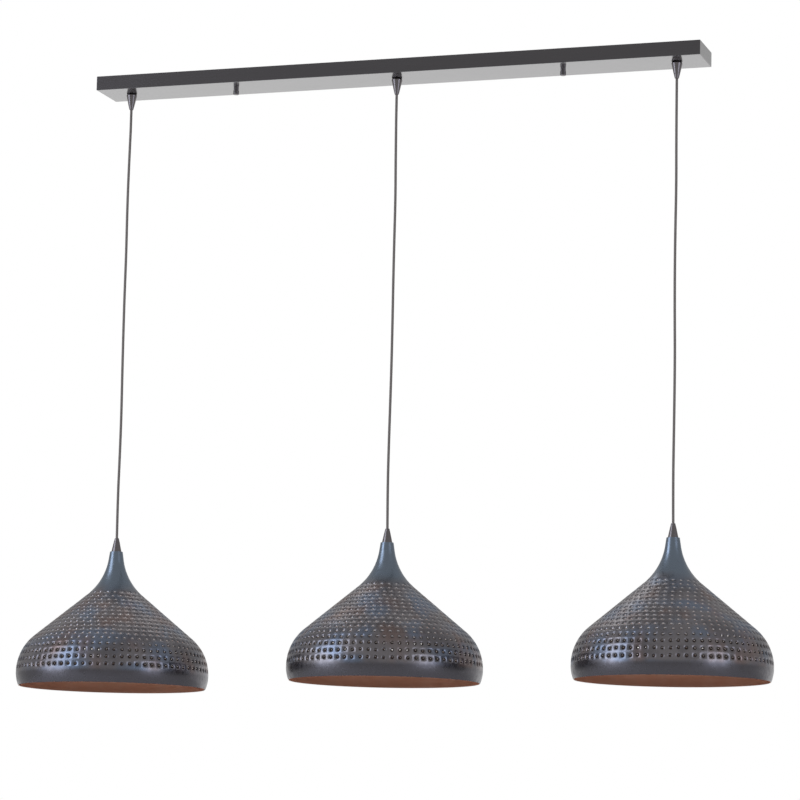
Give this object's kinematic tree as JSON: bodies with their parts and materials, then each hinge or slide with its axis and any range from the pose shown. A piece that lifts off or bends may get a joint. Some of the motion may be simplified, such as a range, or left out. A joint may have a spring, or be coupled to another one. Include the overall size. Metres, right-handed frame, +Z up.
{
  "type": "linear island pendant",
  "caption": "Linear island pendant: a long flat ceiling canopy with spun, punched metal shades hanging on cords, each with a screw lampholder.",
  "frame": {"origin": "middle of the two ceiling fixing holes, on the plane where bracket and canopy meet the ceiling", "axes": "+X along the canopy, -Y towards the viewer, +Z up"},
  "size_m": [1.3349, 0.335, 1.087],
  "materials": {
    "canopy_metal": "dark satin nickel, brushed lengthwise",
    "black_metal": "black, semi-gloss",
    "cord_sheath": "matt dark grey",
    "shade_metal": "blue-grey patina outside, copper inside",
    "brass": "plain brass",
    "black_plastic": "black moulded",
    "white_insulator": "white, glazed",
    "zinc_steel": "zinc plated"
  },
  "bodies": {
    "canopy_assembly": {"canopy": "canopy_metal", "ceiling_bracket": "zinc_steel", "bracket_studs": "zinc_steel", "stud_nuts": "zinc_steel", "thumb_nut_left": "black_metal", "thumb_nut_right": "black_metal", "upper_grip_left": "black_metal", "upper_grip_centre": "black_metal", "upper_grip_right": "black_metal", "upper_grip_screws": "black_metal", "canopy_nipples": "brass", "canopy_lock_nuts": "zinc_steel", "canopy_washers": "zinc_steel", "terminal_block": "white_insulator", "terminal_screws": "brass", "earth_stud": "brass", "earth_nuts": "brass", "inner_cord_left": "cord_sheath", "inner_cord_centre": "cord_sheath", "inner_cord_right": "cord_sheath"},
    "cord_bend_body_left": {"cord_bend_left": "cord_sheath"},
    "cord_body_left": {"cord_left": "cord_sheath"},
    "pendant_left": {"holder_cord_left": "cord_sheath", "lower_grip_left": "black_metal", "lower_grip_screw_left": "black_metal", "shade_left": "shade_metal", "nipple_left": "brass", "nipple_nuts_left": "zinc_steel", "lampholder_cap_left": "black_plastic", "lampholder_skirt_left": "black_plastic", "lampholder_core_left": "white_insulator", "screw_shell_left": "brass", "centre_contact_left": "brass"},
    "cord_bend_body_centre": {"cord_bend_centre": "cord_sheath"},
    "cord_body_centre": {"cord_centre": "cord_sheath"},
    "pendant_centre": {"holder_cord_centre": "cord_sheath", "lower_grip_centre": "black_metal", "lower_grip_screw_centre": "black_metal", "shade_centre": "shade_metal", "nipple_centre": "brass", "nipple_nuts_centre": "zinc_steel", "lampholder_cap_centre": "black_plastic", "lampholder_skirt_centre": "black_plastic", "lampholder_core_centre": "white_insulator", "screw_shell_centre": "brass", "centre_contact_centre": "brass"},
    "cord_bend_body_right": {"cord_bend_right": "cord_sheath"},
    "cord_body_right": {"cord_right": "cord_sheath"},
    "pendant_right": {"holder_cord_right": "cord_sheath", "lower_grip_right": "black_metal", "lower_grip_screw_right": "black_metal", "shade_right": "shade_metal", "nipple_right": "brass", "nipple_nuts_right": "zinc_steel", "lampholder_cap_right": "black_plastic", "lampholder_skirt_right": "black_plastic", "lampholder_core_right": "white_insulator", "screw_shell_right": "brass", "centre_contact_right": "brass"}
  },
  "joints": [
    {"name": "swing_fore_aft_left", "type": "hinge", "parent": "canopy_assembly", "child": "cord_bend_body_left", "pos_m": [-0.5, 0, -0.054], "axis": [1, 0, 0], "range_deg": [-35, 35]},
    {"name": "swing_sideways_left", "type": "hinge", "parent": "cord_bend_body_left", "child": "cord_body_left", "pos_m": [-0.5, 0, -0.094], "axis": [0, 1, 0], "range_deg": [-4, 35]},
    {"name": "twist_left", "type": "hinge", "parent": "cord_body_left", "child": "pendant_left", "pos_m": [-0.5, 0, -0.829], "axis": [0, 0, 1], "range_deg": [-180, 180]},
    {"name": "swing_fore_aft_centre", "type": "hinge", "parent": "canopy_assembly", "child": "cord_bend_body_centre", "pos_m": [0, 0, -0.054], "axis": [1, 0, 0], "range_deg": [-35, 35]},
    {"name": "swing_sideways_centre", "type": "hinge", "parent": "cord_bend_body_centre", "child": "cord_body_centre", "pos_m": [0, 0, -0.094], "axis": [0, 1, 0], "range_deg": [-4, 4]},
    {"name": "twist_centre", "type": "hinge", "parent": "cord_body_centre", "child": "pendant_centre", "pos_m": [0, 0, -0.819], "axis": [0, 0, 1], "range_deg": [-180, 180]},
    {"name": "swing_fore_aft_right", "type": "hinge", "parent": "canopy_assembly", "child": "cord_bend_body_right", "pos_m": [0.5, 0, -0.054], "axis": [1, 0, 0], "range_deg": [-35, 35]},
    {"name": "swing_sideways_right", "type": "hinge", "parent": "cord_bend_body_right", "child": "cord_body_right", "pos_m": [0.5, 0, -0.094], "axis": [0, 1, 0], "range_deg": [-35, 4]},
    {"name": "twist_right", "type": "hinge", "parent": "cord_body_right", "child": "pendant_right", "pos_m": [0.5, 0, -0.817], "axis": [0, 0, 1], "range_deg": [-180, 180]}
  ]
}
